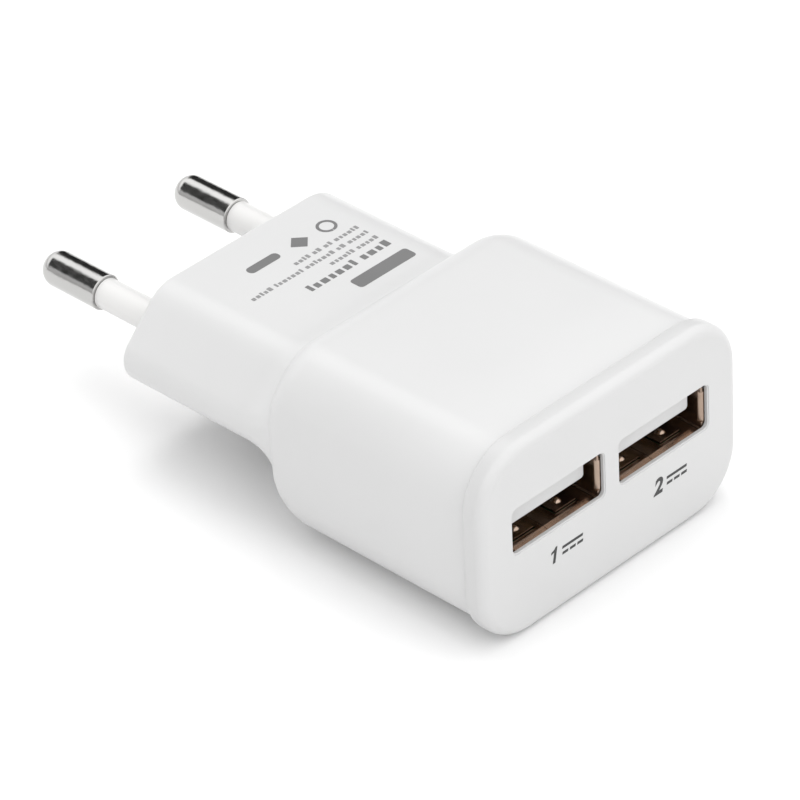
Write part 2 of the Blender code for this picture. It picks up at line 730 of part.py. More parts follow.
def make_board_parts(epoxy, can, ferrite, blue, collection):
    board = BOARD_TOP + GAP
    make_chip("bridge_rectifier", (8.0, 25.0), 2.4, 2.0, 1.6, 2, 0.7, epoxy, collection)
    make_chip("controller_ic", (-2.0, 20.0), 2.45, 1.95, 1.5, 4, 0.4, epoxy, collection)
    make_chip("output_diode", (8.0, 17.0), 3.0, 3.4, 2.2, 1, 2.9, epoxy, collection)
    for x, name in ((4.2, "left"), (11.2, "right")):
        profile = can_profile(OUTPUT_CAP_RADIUS, board, board + OUTPUT_CAP_HEIGHT)
        foot = point(x, 19.0, 0.0)
        revolve("output_capacitor_" + name, profile, foot, False, ROUND_STEPS, can, collection)
    under = BOARD_TOP - BOARD_THICK - GAP
    drum = [
        (0.0, under), (2.6, under), (2.6, under - 0.8), (2.1, under - 1.0), (2.1, under - 4.0),
        (2.6, under - 4.2), (2.6, under - 5.0), (0.0, under - 5.0),
    ]
    revolve("filter_inductor", drum, point(-9.0, 24.5, 0.0), False, ROUND_STEPS, ferrite, collection)
    coupler = block(
        "optocoupler", (0.9, 24.0, board + 0.4), (7.5, 27.6, board + 3.8), epoxy, collection
    )
    for depth, label in ((24.5, "front"), (26.6, "rear")):
        low = (0.1, depth, board)
        high = (8.3, depth + 0.5, board + 2.0)
        feet = block("optocoupler_legs_" + label, low, high, None, collection)
        combine(coupler, feet, "UNION")
    gap_under = block("optocoupler_arch", (1.4, 23.0, board - 1), (7.0, 28.5, board + 0.4), None, collection)
    combine(coupler, gap_under, "DIFFERENCE")
    disc = [(0.0, 27.6), (2.4, 27.6), (3.1, 27.0), (3.1, 26.2), (2.4, 25.6), (0.0, 25.6)]
    capacitor = revolve(
        "isolation_capacitor", disc, point(12.0, 0.0, board + 4.2), True, ROUND_STEPS, blue, collection
    )
    for offset, label in ((-1.6, "a"), (1.6, "b")):
        path = ((12.0 + offset, 26.6, board + 2.8), (12.0 + offset, 26.6, board))
        lead = wire("isolation_lead_" + label, path, LEAD_RADIUS, None, collection)
        combine(capacitor, lead, "UNION")


def main():
    clear_scene()
    charger = new_collection("usb_wall_charger")
    new_collection("cutters").hide_render = True
    white = new_material("white_gloss_plastic", (0.86, 0.86, 0.86), 0.0, 0.3)
    bezel_white = new_material("white_bezel_plastic", (0.84, 0.84, 0.84), 0.0, 0.32)
    sleeve_white = new_material("sleeve_plastic", (0.82, 0.82, 0.81), 0.0, 0.5)
    nickel = new_material("nickel_plate", (0.76, 0.75, 0.73), 1.0, 0.18)
    tinned = new_material("tinned_steel", (0.62, 0.6, 0.58), 1.0, 0.3)
    insulator = new_material("white_insulator", (0.8, 0.8, 0.78), 0.0, 0.5)
    gold = new_material("gold_flash", (0.83, 0.66, 0.33), 1.0, 0.28)
    laminate = new_material("green_laminate", (0.05, 0.26, 0.1), 0.0, 0.5)
    ferrite = new_material("ferrite", (0.07, 0.07, 0.075), 0.0, 0.6)
    bobbin = new_material("black_bobbin", (0.03, 0.03, 0.03), 0.0, 0.5)
    tape = new_material("yellow_tape", (0.85, 0.66, 0.1), 0.0, 0.45)
    can = new_material("capacitor_sleeve", (0.04, 0.05, 0.1), 0.0, 0.35)
    epoxy = new_material("black_epoxy", (0.025, 0.025, 0.025), 0.0, 0.55)
    ceramic = new_material("resistor_coating", (0.2, 0.42, 0.3), 0.0, 0.5)
    red = new_material("red_wire_skin", (0.55, 0.04, 0.03), 0.0, 0.45)
    blue = new_material("blue_ceramic", (0.05, 0.2, 0.55), 0.0, 0.4)
    make_housing(white, charger)
    make_bezel(bezel_white, charger)
    make_pins(nickel, sleeve_white, charger)
    for side, name in ((-1, "left"), (1, "right")):
        middle = side * PORT_PITCH / 2
        make_shell(name, middle, tinned, charger)
        make_tongue(name, middle, insulator, charger)
        make_contacts(name, middle, gold, charger)
    make_board(laminate, charger)
    make_transformer(ferrite, bobbin, tape, charger)
    make_input_side(can, nickel, ceramic, red, charger)
    make_board_parts(epoxy, can, ferrite, blue, charger)
    whole = bpy.data.objects.new("usb_wall_charger_origin", None)
    charger.objects.link(whole)
    for piece in charger.objects:
        if piece.type == "MESH":
            piece.parent = whole


main()
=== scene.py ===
"""The looks of a two-port USB wall charger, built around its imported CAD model.

Lengths below are in millimetres. A distance named "depth" is measured from the port face towards the
pins, x runs to the right as seen from the ports and z is up.
"""

import json
import math

import bmesh
import bpy
from mathutils import Matrix, Vector


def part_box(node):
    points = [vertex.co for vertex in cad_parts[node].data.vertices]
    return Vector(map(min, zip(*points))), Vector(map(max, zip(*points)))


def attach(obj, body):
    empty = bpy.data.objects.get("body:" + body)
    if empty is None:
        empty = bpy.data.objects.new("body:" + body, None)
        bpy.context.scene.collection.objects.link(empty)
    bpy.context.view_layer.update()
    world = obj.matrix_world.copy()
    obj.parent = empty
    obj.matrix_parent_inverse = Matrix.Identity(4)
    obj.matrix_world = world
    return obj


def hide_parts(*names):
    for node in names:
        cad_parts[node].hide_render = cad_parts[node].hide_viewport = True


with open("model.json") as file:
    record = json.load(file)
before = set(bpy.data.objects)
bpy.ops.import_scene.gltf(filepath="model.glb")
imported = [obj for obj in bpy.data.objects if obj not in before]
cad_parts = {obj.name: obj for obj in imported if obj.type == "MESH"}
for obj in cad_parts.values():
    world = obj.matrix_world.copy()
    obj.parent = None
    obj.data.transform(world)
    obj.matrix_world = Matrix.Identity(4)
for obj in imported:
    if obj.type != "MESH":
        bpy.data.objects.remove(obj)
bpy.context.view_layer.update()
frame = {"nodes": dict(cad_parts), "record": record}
MM = 0.001
WELD = 1e-7
SHARP_ANGLE = math.radians(35.0)
BODY = "charger"
SIDES = ((-1, "left"), (1, "right"))
CORNER_SIGNS = ((1, 1), (-1, 1), (-1, -1), (1, -1))
PAST = 1.0

BEZEL_LOW, BEZEL_HIGH = (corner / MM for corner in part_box("front_bezel"))
HOUSING_LOW, HOUSING_HIGH = (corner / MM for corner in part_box("rear_housing"))
PIN_LOW, PIN_HIGH = (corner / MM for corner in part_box("pin_right"))
SLEEVE_LOW, SLEEVE_HIGH = (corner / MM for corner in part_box("pin_sleeve_right"))
SHELL_BOX_LOW, SHELL_BOX_HIGH = (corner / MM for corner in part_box("usb_shell_right"))
TONGUE_BOX_LOW, TONGUE_BOX_HIGH = (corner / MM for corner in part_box("usb_tongue_right"))

FACE_Y = BEZEL_LOW.y
MIDDLE_Z = (BEZEL_LOW.z + BEZEL_HIGH.z) / 2

# Front frame
FRAME_HALF_W = BEZEL_HIGH.x
FRAME_HALF_H = (BEZEL_HIGH.z - BEZEL_LOW.z) / 2
FRAME_CORNER = 6.5
FRAME_THICK = 2.5
FRAME_EDGE = 1.1
GROOVE_EDGE = 0.22
GROOVE_STEPS = 4
SPIGOT_DEPTH = 5.2
SPIGOT_GAP = 0.1
SPIGOT_WALL = 1.0
SPIGOT_ROOT = 0.5

# Housing
BODY_HALF_W = 18.25
BODY_HALF_H = 10.83
BODY_CORNER = 6.0
DRAFT = 0.003
WALL = 2.0
STEP_START = 26.6
STEP_MIDDLE = 29.9
STEP_END = 34.6
STEP_SHARE = 0.48
STEP_RINGS = 16
FACET_LOW_TURN = 42.0
FACET_HIGH_TURN = 48.0
FACET_TURN = 45.0
PLUG_SIDE_TURN = 42.0
CORNER_STEPS = 12
FACET_STEPS = 4
CAVITY_STEP_RINGS = 5
CAVITY_STEP_LEAD = 1.6
PLUG_REACH = 18.88
PLUG_HALF_H = 7.0
PLUG_Z = (PIN_LOW.z + PIN_HIGH.z) / 2
PLUG_TOP_CORNER = 5.0
PLUG_SIDE_CORNER = 3.0
PLUG_END = HOUSING_HIGH.y - FACE_Y
PLUG_EDGE = 0.6
PLUG_EDGE_STEPS = 6
HOLE_GAP = 0.05
HOLE_EDGE = 0.2
PLUG_TOP_Z = PLUG_Z + PLUG_HALF_H - DRAFT * STEP_START

# Pins
PIN_X = (PIN_LOW.x + PIN_HIGH.x) / 2
PIN_RADIUS = (PIN_HIGH.x - PIN_LOW.x) / 2
PIN_TIP = PIN_HIGH.y - FACE_Y
PIN_BACK = PIN_LOW.y - FACE_Y
PIN_DOME = 1.8
DOME_STEPS = 18
TIP_FLAT = 0.15
TIP_SUPPORT = 0.1
SHOULDER_EDGE = ((0.0, 0.13), (0.0, 0.11), (0.02, 0.07), (0.08, 0.01), (0.1, 0.0))
SHOULDER_GAP = 0.05
PIN_HEAD = 2.4
CORE_RADIUS = 1.4
CORE_GAP = 0.05
SLEEVE_RADIUS = (SLEEVE_HIGH.x - SLEEVE_LOW.x) / 2
SLEEVE_END = SLEEVE_HIGH.y - FACE_Y
SLEEVE_ROOT = SLEEVE_LOW.y - FACE_Y
SLEEVE_EDGE = 0.08
SLEEVE_EDGE_BEND = 0.3
ROUND_STEPS = 72

# Ports
PORT_X = (SHELL_BOX_LOW.x + SHELL_BOX_HIGH.x) / 2
PORT_Z = 12.87
PORT_HALF_W = 6.59
PORT_HALF_H = 2.63
PORT_CORNER = 0.6
PORT_FILLET = 0.14
PORT_LIP = 0.5
SEAT_GAP = 0.1
SEAT_CORNER = 0.8
SEAT_REACH = 1.5
SHELL_Z = (SHELL_BOX_LOW.z + SHELL_BOX_HIGH.z) / 2
SHELL_HALF_W = (SHELL_BOX_HIGH.x - SHELL_BOX_LOW.x) / 2
SHELL_HALF_H = (SHELL_BOX_HIGH.z - SHELL_BOX_LOW.z) / 2
SHELL_FRONT = SHELL_BOX_LOW.y - FACE_Y
SHELL_REAR = SHELL_BOX_HIGH.y - FACE_Y
SHELL_CORNER = 0.6
SHELL_INNER_CORNER = 0.3
SHELL_CORNER_STEPS = 6
SHEET = 0.3
FLOOR_Z = SHELL_BOX_LOW.z + SHEET
LIP_DROP = 0.42
LIP_DEPTH = 1.6
SIDE_LIP = 0.34
SIDE_LIP_DEPTH = 1.15
LIP_CUT = 0.75
LIP_CUT_WIDTH = 0.05
BEND_STEP = 0.05
RIM_ROUND = 0.1
RIM_INSET = 0.02
TAB_X = 3.05
TAB_HALF_W = 1.45
TAB_SLIT = 0.16
TAB_FREE = 2.1
TAB_ROOT = 7.6
TAB_LIFT = 0.2
TAB_CURL = 1.5
TAB_SHEET = 0.9 * SHEET
TAB_OVERLAP = 0.25
TAB_COLUMNS = 40
TAB_FINE_ROWS = 35
TAB_FINE_ROW = 0.06
TAB_COARSE_ROWS = 8
DIMPLE_DEPTH = 3.35
DIMPLE_RADIUS = 0.55
DIMPLE_HEIGHT = 0.42
DIMPLE_FLATNESS = 0.8
SEAM_X = -0.7
SEAM_HALF_W = 0.035
SEAM_CORNER = 0.01
SLOT_CORNER = 0.02
EXIT_HALF_W = 5.0
EXIT_LENGTH = 1.2
TONGUE_HALF_W = 5.35
TONGUE_FRONT = TONGUE_BOX_LOW.y - FACE_Y
TONGUE_LOW = 12.46
TONGUE_HIGH = 14.3
TONGUE_CORNER = 0.45
TONGUE_EDGE = 0.18
TONGUE_EDGE_STEPS = 5
BASE_FRONT = 10.5
BASE_REAR = TONGUE_BOX_HIGH.y - FACE_Y
BASE_SIDE_GAP = 0.12
BASE_TOP_GAP = 0.1
BASE_CORNER = 0.25
GROOVE_HALF_W = 0.67
GROOVE_ROOF = 13.46
GROOVE_START = 0.7
GROOVE_CORNER = 0.08
CONTACT_OFFSETS = (-3.5, -1.0, 1.0, 3.5)

# Contacts
BLADE_SHEET = 0.2
BLADE_CLEARANCE = 0.02
BLADE_FRONT_GAP = 0.05
BLADE_COLUMNS = 8
BLADE_ROWS = 44
BLADE_CROWN = 0.03
BUMP_DEPTH = 1.45
BUMP_DROP = 0.66
BUMP_WIDTH = 0.9
BUMP_TAIL = 4.0
BUMP_TAIL_CURVE = 1.6

# Printing
INK_THICK = 0.03
MARK_Z = 6.2
MARK_START = -1.75
DIGIT_SIZE = 2.62
DIGIT_BOLDNESS = 0.085
SLANT = 0.2
ONE_OUTLINE = ((0.55, 0.0), (0.92, 0.0), (0.92, 1.85), (0.66, 1.85), (0.52, 1.62), (0.12, 1.44),
               (0.12, 1.16), (0.55, 1.32))
STROKE_CORNER = 0.03
CURRENT_SIGN_START = 1.95
CURRENT_SIGN_WIDTH = 3.0
CURRENT_LINE = (1.08, 1.4)
CURRENT_DASH = (0.38, 0.7)
DASH_PITCH = 1.08
DASH_LENGTH = 0.84

# Label: each row has a depth, a height and the number of blocks in each word
LABEL_RIGHT = 9.05
LABEL_BAR = (-0.3, 7.9, 35.3, 37.15, 0.4)
LABEL_ROWS = (
    (38.7, 1.15, (4, 7)),
    (40.55, 0.66, (5, 6)),
    (41.98, 0.66, (5, 2, 7, 7, 5)),
    (43.35, 0.66, (6, 2, 2, 4)),
)
BLOCK_WIDTHS = (0.68, 0.52, 0.76, 0.58, 0.42, 0.68)
TALL_BLOCK = 4
LOW_BLOCK_SHARE = 0.74
BLOCK_GAP = 0.3
BLOCK_CORNER = 0.06
WORD_GAP = 0.5
SHAPES_DEPTH = 46.2
RING_CENTRE = 2.0
RING_RADII = (1.15, 0.8)
RING_STEPS = 40
RING_HALF_TURN = 178
DIAMOND_CENTRE = 6.0
DIAMOND_HALF_W = 1.25
DIAMOND_HALF_H = 1.2
SHORT_BAR = (9.0, 13.4, 45.65, 46.85, 0.5)


def spot(x, depth, z):
    """A point in the frame, in metres."""
    return Vector((x, FACE_Y + depth, z)) * MM


def collect(name, vertices, faces):
    """A closed mesh object from points in metres, with its normals turned outwards."""
    mesh = bpy.data.meshes.new(name)
    mesh.from_pydata([tuple(v) for v in vertices], [], faces)
    shape = bmesh.new()
    shape.from_mesh(mesh)
    bmesh.ops.remove_doubles(shape, verts=shape.verts, dist=WELD)
    bmesh.ops.recalc_face_normals(shape, faces=shape.faces)
    shape.to_mesh(mesh)
    shape.free()
    mesh.shade_smooth()
    mesh.set_sharp_from_angle(angle=SHARP_ANGLE)
    made = bpy.data.objects.new(name, mesh)
    bpy.context.scene.collection.objects.link(made)
    return made


def loft(name, rings, looped=False):
    """Skins rings of the same number of points. Looped joins the last to the first, and otherwise the ends
    are capped."""
    count = len(rings[0])
    vertices = [v for ring in rings for v in ring]
    faces = []
    rows = len(rings) if looped else len(rings) - 1
    for row in range(rows):
        following = (row + 1) % len(rings)
        for i in range(count):
            j = (i + 1) % count
            faces.append((row * count + i, row * count + j, following * count + j, following * count + i))
    if not looped:
        faces.append(tuple(range(count)))
        faces.append(tuple((len(rings) - 1) * count + i for i in range(count)))
    return collect(name, vertices, faces)


def cut(target, tool, operation="DIFFERENCE"):
    """Applies a Boolean to the target's mesh and removes the tool."""
    change = target.modifiers.new("cut", "BOOLEAN")
    change.operation = operation
    change.solver = "EXACT"
    change.object = tool
    graph = bpy.context.evaluated_depsgraph_get()
    mesh = bpy.data.meshes.new_from_object(target.evaluated_get(graph))
    target.modifiers.clear()
    target.data = mesh
    bpy.data.objects.remove(tool, do_unlink=True)
    mesh.shade_smooth()
    mesh.set_sharp_from_angle(angle=SHARP_ANGLE)


def round_box(centre, half_w, half_h, radius, steps):
    """(x, z) points round a rectangle with rounded corners."""
    outline = []
    for turn, (sx, sz) in enumerate(CORNER_SIGNS):
        for step in range(steps + 1):
            angle = math.radians(90 * turn + 90 * step / steps)
            x = centre[0] + sx * (half_w - radius) + radius * math.cos(angle)
            z = centre[1] + sz * (half_h - radius) + radius * math.sin(angle)
            outline.append((x, z))
    return outline


def box_ring(centre, half_w, half_h, radius, depth, steps):
    return [spot(x, depth, z) for x, z in round_box(centre, half_w, half_h, radius, steps)]


def edge_steps(radius, count):
    """(inset, offset) pairs round a quarter of a circle, from the end face to the side."""
    for step in range(count + 1):
        angle = math.pi / 2 * step / count
        yield radius * (1 - math.sin(angle)), radius * (1 - math.cos(angle))


def slab(name, xs, depths, height, thickness):
    """A sheet over a grid of x and depth, whose top is at height(x, depth)."""
    top = [[spot(x, d, height(x, d)) for x in xs] for d in depths]
    low = [[spot(x, d, height(x, d) - thickness) for x in xs] for d in depths]
    rings = []
    for upper, lower in zip(top, low):
        rings.append(upper + lower[::-1])
    return loft(name, rings)


def turned(name, profile, x, z, looped=False):
    """Rings of (radius, depth) about an axis along the depth."""
    rings = []
    for radius, depth in profile:
        ring = []
        for step in range(ROUND_STEPS):
            angle = 2 * math.pi * step / ROUND_STEPS
            ring.append(spot(x + radius * math.cos(angle), depth, z + radius * math.sin(angle)))
        rings.append(ring)
    return loft(name, rings, looped)


# ---------------------------------------------------------------- materials


TONE_ENDS = (0.35, 0.65)
GRAIN_HEIGHT = 0.02 * MM
COAT_ROUGHNESS = 0.12


def finish(name, tone, other, rough, spread=0.04, metal=0.0, grain=0.0, grain_scale=900.0, streak=(1, 1, 1),
           coat=0.0, patch=60.0):
    """A Principled material whose colour, roughness and relief come from noise over the piece."""
    made = bpy.data.materials.new(name)
    made.use_nodes = True
    nodes = made.node_tree.nodes
    links = made.node_tree.links
    shader = nodes["Principled BSDF"]
    place = nodes.new("ShaderNodeTexCoord")
    stretch = nodes.new("ShaderNodeMapping")
    stretch.inputs["Scale"].default_value = streak
    links.new(place.outputs["Object"], stretch.inputs["Vector"])
    wide = nodes.new("ShaderNodeTexNoise")
    wide.inputs["Scale"].default_value = patch
    wide.inputs["Detail"].default_value = 3.0
    links.new(stretch.outputs["Vector"], wide.inputs["Vector"])
    ramp = nodes.new("ShaderNodeValToRGB")
    for element, position, colour in zip(ramp.color_ramp.elements, TONE_ENDS, (tone, other)):
        element.position = position
        element.color = (*colour, 1.0)
    links.new(wide.outputs["Fac"], ramp.inputs["Fac"])
    links.new(ramp.outputs["Color"], shader.inputs["Base Color"])
    fine = nodes.new("ShaderNodeTexNoise")
    fine.inputs["Scale"].default_value = grain_scale
    fine.inputs["Detail"].default_value = 4.0
    links.new(stretch.outputs["Vector"], fine.inputs["Vector"])
    span = nodes.new("ShaderNodeMapRange")
    span.inputs["To Min"].default_value = rough - spread
    span.inputs["To Max"].default_value = rough + spread
    links.new(fine.outputs["Fac"], span.inputs["Value"])
    links.new(span.outputs["Result"], shader.inputs["Roughness"])
    if grain:
        bump = nodes.new("ShaderNodeBump")
        bump.inputs["Strength"].default_value = grain
        bump.inputs["Distance"].default_value = GRAIN_HEIGHT
        links.new(fine.outputs["Fac"], bump.inputs["Height"])
        links.new(bump.outputs["Normal"], shader.inputs["Normal"])
    shader.inputs["Metallic"].default_value = metal
    shader.inputs["Coat Weight"].default_value = coat
    shader.inputs["Coat Roughness"].default_value = COAT_ROUGHNESS
    return made


def grey(value):
    return (value, value, value)


MATERIALS = {
    "white_gloss_plastic": finish("white_gloss_plastic", grey(0.586), grey(0.596), 0.32, grain=0.05),
    "white_bezel_plastic": finish("white_bezel_plastic", grey(0.55), grey(0.56), 0.34, grain=0.05),
    "sleeve_plastic": finish("sleeve_plastic", (0.665, 0.66, 0.652), (0.675, 0.67, 0.662), 0.3, grain=0.05),
    "nickel_plate": finish("nickel_plate", (0.5, 0.496, 0.488), (0.56, 0.555, 0.546), 0.17, spread=0.06,
                           metal=1.0, grain=1.0, grain_scale=2600.0, streak=(1, 0.45, 1)),
    "tinned_steel": finish("tinned_steel", (0.37, 0.28, 0.22), (0.46, 0.35, 0.28), 0.22, spread=0.06,
                           metal=1.0, grain=0.1, grain_scale=1500.0, streak=(1, 0.2, 1), patch=300.0),
    "white_insulator": finish("white_insulator", grey(0.55), grey(0.57), 0.45, grain=0.1),
    "gold_flash": finish("gold_flash", (0.83, 0.6, 0.26), (0.9, 0.68, 0.34), 0.22, spread=0.05, metal=1.0,
                         grain=0.1, grain_scale=2000.0),
    "green_laminate": finish("green_laminate", (0.02, 0.16, 0.05), (0.03, 0.22, 0.07), 0.4, grain=0.2,
                             patch=400.0),
    "ferrite": finish("ferrite", grey(0.035), grey(0.06), 0.6, grain=0.5),
    "black_bobbin": finish("black_bobbin", grey(0.02), grey(0.03), 0.4, grain=0.1),
    "yellow_tape": finish("yellow_tape", (0.7, 0.45, 0.03), (0.78, 0.52, 0.05), 0.3, grain=0.1),
    "capacitor_sleeve": finish("capacitor_sleeve", (0.015, 0.02, 0.06), (0.02, 0.03, 0.08), 0.3),
    "black_epoxy": finish("black_epoxy", grey(0.02), grey(0.028), 0.5, grain=0.3),
    "resistor_coating": finish("resistor_coating", (0.12, 0.3, 0.18), (0.16, 0.36, 0.22), 0.45, grain=0.2),
    "red_wire_skin": finish("red_wire_skin", (0.45, 0.02, 0.015), (0.52, 0.03, 0.02), 0.35),
    "blue_ceramic": finish("blue_ceramic", (0.03, 0.12, 0.4), (0.04, 0.16, 0.48), 0.3, coat=0.4),
}
DARK_INK = finish("dark_ink", grey(0.03), grey(0.036), 0.5, grain=0.2)
GREY_INK = finish("grey_ink", grey(0.14), grey(0.16), 0.5, grain=0.2)
PALE_INK = finish("pale_ink", grey(0.22), grey(0.25), 0.5, grain=0.2)


def settle(piece, slot, material=None, body=BODY, replaced=()):
    """Gives a piece its material, looked up by its slot unless one is given, puts it on its body and hides
    the CAD nodes it stands for.
    """
    piece.data.materials.clear()
    piece.data.materials.append(material or MATERIALS[slot])
    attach(piece, body)
    if replaced:
        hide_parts(*replaced)


# ---------------------------------------------------------------- housing


def body_quarter(angle, inset):
    radius = BODY_CORNER - inset
    x = BODY_HALF_W - inset - radius + radius * math.sin(angle)
    return x, BODY_HALF_H - inset - radius + radius * math.cos(angle)


def plug_top_corner(angle, inset):
    half_h = PLUG_HALF_H - inset
    reach = PLUG_REACH - inset * math.sqrt(2)
    radius = PLUG_TOP_CORNER - inset
    x = reach - half_h - radius * math.tan(math.radians(FACET_TURN / 2)) + radius * math.sin(angle)
    return x, half_h - radius + radius * math.cos(angle)


def plug_side_corner(angle, inset):
    radius = PLUG_SIDE_CORNER - inset
    reach = PLUG_REACH - inset * math.sqrt(2)
    return reach - radius * math.sqrt(2) + radius * math.sin(angle), radius * math.cos(angle)


def housing_ring(depth, inset, share):
    """One section of the housing: share runs from 0 for the rounded box to 1 for the six-sided plug."""
    facet_span = FACET_HIGH_TURN - FACET_LOW_TURN
    quarter = []
    pairs = []
    for step in range(CORNER_STEPS + 1):
        along = step / CORNER_STEPS
        pairs.append((body_quarter(math.radians(FACET_LOW_TURN * along), inset),
                      plug_top_corner(math.radians(FACET_TURN * along), inset)))
    start = plug_top_corner(math.radians(FACET_TURN), inset)
    end = plug_side_corner(math.radians(FACET_TURN), inset)
    for step in range(1, FACET_STEPS):
        along = step / FACET_STEPS
        middle = (start[0] + along * (end[0] - start[0]), start[1] + along * (end[1] - start[1]))
        pairs.append((body_quarter(math.radians(FACET_LOW_TURN + facet_span * along), inset), middle))
    for step in range(CORNER_STEPS + 1):
        along = step / CORNER_STEPS
        pairs.append((body_quarter(math.radians(FACET_HIGH_TURN + FACET_LOW_TURN * along), inset),
                      plug_side_corner(math.radians(FACET_TURN + PLUG_SIDE_TURN * along), inset)))
    for (body_x, body_z), (plug_x, plug_z) in pairs:
        quarter.append((body_x + share * (plug_x - body_x), body_z + share * (plug_z - body_z)))
    middle = MIDDLE_Z + share * (PLUG_Z - MIDDLE_Z)
    ring = [(x, middle + z) for x, z in quarter]
    ring += [(x, middle - z) for x, z in reversed(quarter)]
    ring += [(-x, middle - z) for x, z in quarter]
    ring += [(-x, middle + z) for x, z in reversed(quarter)]
    return [spot(x, depth, z) for x, z in ring]


def step_profile(count):
    """(depth, share) pairs down the rounded shoulder and out along the hollow sweep."""
    pairs = []
    for step in range(count + 1):
        angle = math.pi / 2 * step / count
        depth = STEP_START + (STEP_MIDDLE - STEP_START) * math.sin(angle)
        pairs.append((depth, STEP_SHARE * (1 - math.cos(angle))))
    for step in range(1, count + 1):
        angle = math.pi / 2 * step / count
        depth = STEP_END - (STEP_END - STEP_MIDDLE) * math.cos(angle)
        pairs.append((depth, 1 - (1 - STEP_SHARE) * (1 - math.sin(angle))))
    return pairs


def make_housing():
    """The rear housing: outer rings from the groove to the plug's end, then the rings of its cavity."""
    front = HOUSING_LOW.y - FACE_Y
    drafted = DRAFT * STEP_START
    rings = []
    for inset, offset in edge_steps(GROOVE_EDGE, GROOVE_STEPS):
        rings.append(housing_ring(front + offset, inset, 0.0))
    rings.append(housing_ring(STEP_START / 2, drafted / 2, 0.0))
    for depth, share in step_profile(STEP_RINGS):
        rings.append(housing_ring(depth, drafted, share))
    for inset, offset in reversed(list(edge_steps(PLUG_EDGE, PLUG_EDGE_STEPS))):
        rings.append(housing_ring(PLUG_END - offset, drafted + inset, 1.0))
    outer_end = len(rings) - 1
    rings.append(housing_ring(PLUG_END - WALL, WALL, 1.0))
    for depth, share in reversed(step_profile(CAVITY_STEP_RINGS)):
        rings.append(housing_ring(depth - CAVITY_STEP_LEAD, WALL, share))
    rings.append(housing_ring(front, WALL, 0.0))
    count = len(rings[0])
    vertices = [v for ring in rings for v in ring]
    faces = []
    for row in range(len(rings)):
        if row == outer_end:
            continue
        following = (row + 1) % len(rings)
        for i in range(count):
            j = (i + 1) % count
            faces.append((row * count + i, row * count + j, following * count + j, following * count + i))
    for row in (outer_end, outer_end + 1):
        faces.append(tuple(row * count + i for i in range(count)))
    housing = collect("housing_skin", vertices, faces)
    bore = SLEEVE_RADIUS + HOLE_GAP
    for side, name in SIDES:
        profile = [(bore, PLUG_END - WALL - PAST), (bore, PLUG_END + HOLE_GAP - HOLE_EDGE),
                   (bore + HOLE_EDGE, PLUG_END + HOLE_GAP), (bore + HOLE_EDGE, PLUG_END + PAST)]
        cut(housing, turned("hole_" + name, profile, side * PIN_X, PLUG_Z))
    settle(housing, "white_gloss_plastic", replaced=("rear_housing",))


# ---------------------------------------------------------------- front frame


def frame_ring(depth, inset):
    centre = (0.0, MIDDLE_Z)
    return box_ring(centre, FRAME_HALF_W - inset, FRAME_HALF_H - inset, FRAME_CORNER - inset, depth,
                    steps=14)


def make_frame():
    """The front plate with its spigot, and for each port a rounded mouth and a wider seat behind it."""
    rings = [frame_ring(offset, inset) for inset, offset in edge_steps(FRAME_EDGE, count=12)]
    for inset, offset in reversed(list(edge_steps(GROOVE_EDGE, GROOVE_STEPS))):
        rings.append(frame_ring(FRAME_THICK - offset, inset))
    plate = loft("front_frame", rings)
    centre = (0.0, MIDDLE_Z)
    outer = WALL + SPIGOT_GAP
    inner = outer + SPIGOT_WALL
    root = FRAME_THICK - SPIGOT_ROOT
    spigot = []
    for inset, depth in ((outer, root), (outer, SPIGOT_DEPTH), (inner, SPIGOT_DEPTH), (inner, root)):
        spigot.append(box_ring(centre, BODY_HALF_W - inset, BODY_HALF_H - inset, BODY_CORNER - inset, depth,
                               steps=8))
    cut(plate, loft("spigot", spigot, looped=True), "UNION")
    for side, name in SIDES:
        mouth_centre = (side * PORT_X, PORT_Z)
        mouth = [box_ring(mouth_centre, PORT_HALF_W + PORT_FILLET, PORT_HALF_H + PORT_FILLET,
                          PORT_CORNER + PORT_FILLET, -PAST, steps=8)]
        for inset, offset in edge_steps(PORT_FILLET, count=4):
            grow = PORT_FILLET - offset
            mouth.append(box_ring(mouth_centre, PORT_HALF_W + grow, PORT_HALF_H + grow, PORT_CORNER + grow,
                                  PORT_FILLET - inset, steps=8))
        mouth.append(box_ring(mouth_centre, PORT_HALF_W, PORT_HALF_H, PORT_CORNER, FRAME_THICK + PAST,
                              steps=8))
        cut(plate, loft("mouth_" + name, mouth))
        seat_centre = (side * PORT_X, SHELL_Z)
        seat = [box_ring(seat_centre, SHELL_HALF_W + SIDE_LIP + SEAT_GAP, SHELL_HALF_H + LIP_DROP + SEAT_GAP,
                         SEAT_CORNER, depth, steps=6)
                for depth in (PORT_LIP, FRAME_THICK + SEAT_REACH)]
        cut(plate, loft("seat_" + name, seat))
    settle(plate, "white_bezel_plastic", replaced=("front_bezel",))


# ---------------------------------------------------------------- pins


